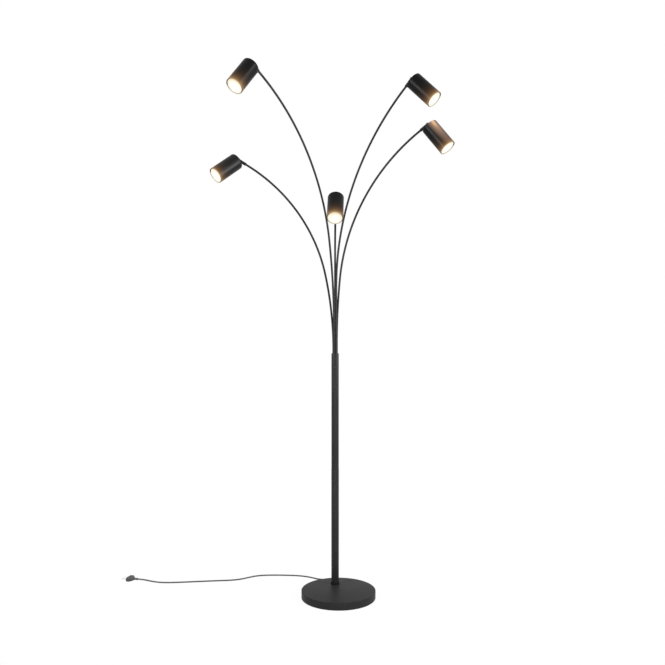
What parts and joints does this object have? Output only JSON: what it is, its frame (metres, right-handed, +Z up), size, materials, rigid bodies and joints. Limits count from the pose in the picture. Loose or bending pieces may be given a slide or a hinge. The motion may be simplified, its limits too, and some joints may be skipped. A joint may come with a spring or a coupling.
{
  "type": "floor lamp",
  "caption": "Tree floor lamp: bent tubes fan out from a pole on a round weighted base, each with an adjustable cylindrical spotlight head, and a cord with a plug.",
  "frame": {"origin": "centre of the underside of the round base, on the floor", "axes": "+Z up along the pole, -Y towards the lamp's front, where the heads shine, and +X to the right as seen from the front"},
  "size_m": [1.1422, 0.5626, 1.6889],
  "materials": {
    "satin_black_metal": "fine satin black powder coat",
    "grey_iron": "raw casting",
    "zinc_steel": "zinc plated",
    "black_foam": "closed-cell foam",
    "black_plastic": "moulded",
    "black_cord": "smooth sheath",
    "nickel_brass": "nickel plated",
    "cream_plastic": "moulded",
    "ivory_ceramic": "unglazed",
    "bulb_glass": "mirrored inside, with a frosted front lens",
    "black_screw": "black oxide"
  },
  "bodies": {
    "stand": {"base_cover": "satin_black_metal", "base_weight": "grey_iron", "base_plate": "zinc_steel", "base_plate_screws": "zinc_steel", "base_pad": "black_foam", "pole_nipple": "zinc_steel", "pole_nut": "zinc_steel", "pole_foot_plug": "zinc_steel", "pole_collar": "satin_black_metal", "pole_lower": "satin_black_metal", "pole_coupler": "zinc_steel", "pole_upper": "satin_black_metal", "arm_holder": "satin_black_metal", "arm_holder_screw": "zinc_steel", "terminal_block": "cream_plastic", "cord_relief": "black_plastic", "power_cord": "black_cord", "plug_body": "black_plastic", "plug_pins": "nickel_brass", "arm_upper_left": "satin_black_metal", "arm_upper_right": "satin_black_metal", "arm_lower_right": "satin_black_metal", "arm_lower_left": "satin_black_metal", "arm_centre": "satin_black_metal"},
    "knuckle_upper_left": {"arm_tip_upper_left": "satin_black_metal"},
    "head_upper_left": {"head_yoke_upper_left": "satin_black_metal", "pivot_screw_upper_left": "black_screw", "head_shell_upper_left": "satin_black_metal", "bulb_socket_upper_left": "ivory_ceramic", "spot_bulb_upper_left": "bulb_glass", "glare_ring_upper_left": "satin_black_metal"},
    "knuckle_upper_right": {"arm_tip_upper_right": "satin_black_metal"},
    "head_upper_right": {"head_yoke_upper_right": "satin_black_metal", "pivot_screw_upper_right": "black_screw", "head_shell_upper_right": "satin_black_metal", "bulb_socket_upper_right": "ivory_ceramic", "spot_bulb_upper_right": "bulb_glass", "glare_ring_upper_right": "satin_black_metal"},
    "knuckle_lower_right": {"arm_tip_lower_right": "satin_black_metal"},
    "head_lower_right": {"head_yoke_lower_right": "satin_black_metal", "pivot_screw_lower_right": "black_screw", "head_shell_lower_right": "satin_black_metal", "bulb_socket_lower_right": "ivory_ceramic", "spot_bulb_lower_right": "bulb_glass", "glare_ring_lower_right": "satin_black_metal"},
    "knuckle_lower_left": {"arm_tip_lower_left": "satin_black_metal"},
    "head_lower_left": {"head_yoke_lower_left": "satin_black_metal", "pivot_screw_lower_left": "black_screw", "head_shell_lower_left": "satin_black_metal", "bulb_socket_lower_left": "ivory_ceramic", "spot_bulb_lower_left": "bulb_glass", "glare_ring_lower_left": "satin_black_metal"},
    "knuckle_centre": {"arm_tip_centre": "satin_black_metal"},
    "head_centre": {"head_yoke_centre": "satin_black_metal", "pivot_screw_centre": "black_screw", "head_shell_centre": "satin_black_metal", "bulb_socket_centre": "ivory_ceramic", "spot_bulb_centre": "bulb_glass", "glare_ring_centre": "satin_black_metal"}
  },
  "joints": [
    {"name": "swivel_upper_left", "type": "hinge", "parent": "stand", "child": "knuckle_upper_left", "pos_m": [-0.24138, -0.247, 1.65867], "axis": [-0.5437, -0.7242, 0.4242], "range_deg": [-60, 60]},
    {"name": "tilt_upper_left", "type": "hinge", "parent": "knuckle_upper_left", "child": "head_upper_left", "pos_m": [-0.25714, -0.268, 1.67097], "axis": [-0.771, 0.6307, 0.0884], "range_deg": [-19.3, 47.7]},
    {"name": "swivel_upper_right", "type": "hinge", "parent": "stand", "child": "knuckle_upper_right", "pos_m": [0.21175, -0.12955, 1.65868], "axis": [0.5885, -0.4956, 0.6388], "range_deg": [-60, 60]},
    {"name": "tilt_upper_right", "type": "hinge", "parent": "knuckle_upper_right", "child": "head_upper_right", "pos_m": [0.22882, -0.14392, 1.6772], "axis": [-0.5453, -0.8266, -0.1389], "range_deg": [-10.3, 56.7]},
    {"name": "swivel_lower_right", "type": "hinge", "parent": "stand", "child": "knuckle_lower_right", "pos_m": [0.26292, -0.09462, 1.53234], "axis": [0.7455, -0.4356, 0.5045], "range_deg": [-60, 60]},
    {"name": "tilt_lower_right", "type": "hinge", "parent": "knuckle_lower_right", "child": "head_lower_right", "pos_m": [0.28454, -0.10725, 1.54697], "axis": [-0.4802, -0.8759, -0.0467], "range_deg": [-14.5, 52.5]},
    {"name": "swivel_lower_left", "type": "hinge", "parent": "stand", "child": "knuckle_lower_left", "pos_m": [-0.31039, 0.00385, 1.45017], "axis": [-0.8588, -0.17, 0.4833], "range_deg": [-60, 60]},
    {"name": "tilt_lower_left", "type": "hinge", "parent": "knuckle_lower_left", "child": "head_lower_left", "pos_m": [-0.33529, -0.00108, 1.46419], "axis": [-0.346, 0.8882, -0.3023], "range_deg": [-26.5, 40.5]},
    {"name": "swivel_centre", "type": "hinge", "parent": "stand", "child": "knuckle_centre", "pos_m": [-0.00918, -0.00816, 1.31959], "axis": [0.0193, -0.7888, 0.6143], "range_deg": [-45, 45]},
    {"name": "tilt_centre", "type": "hinge", "parent": "knuckle_centre", "child": "head_centre", "pos_m": [-0.00862, -0.03104, 1.3374], "axis": [-0.9993, 0.0045, 0.0372], "range_deg": [-4.5, 62.5]}
  ]
}
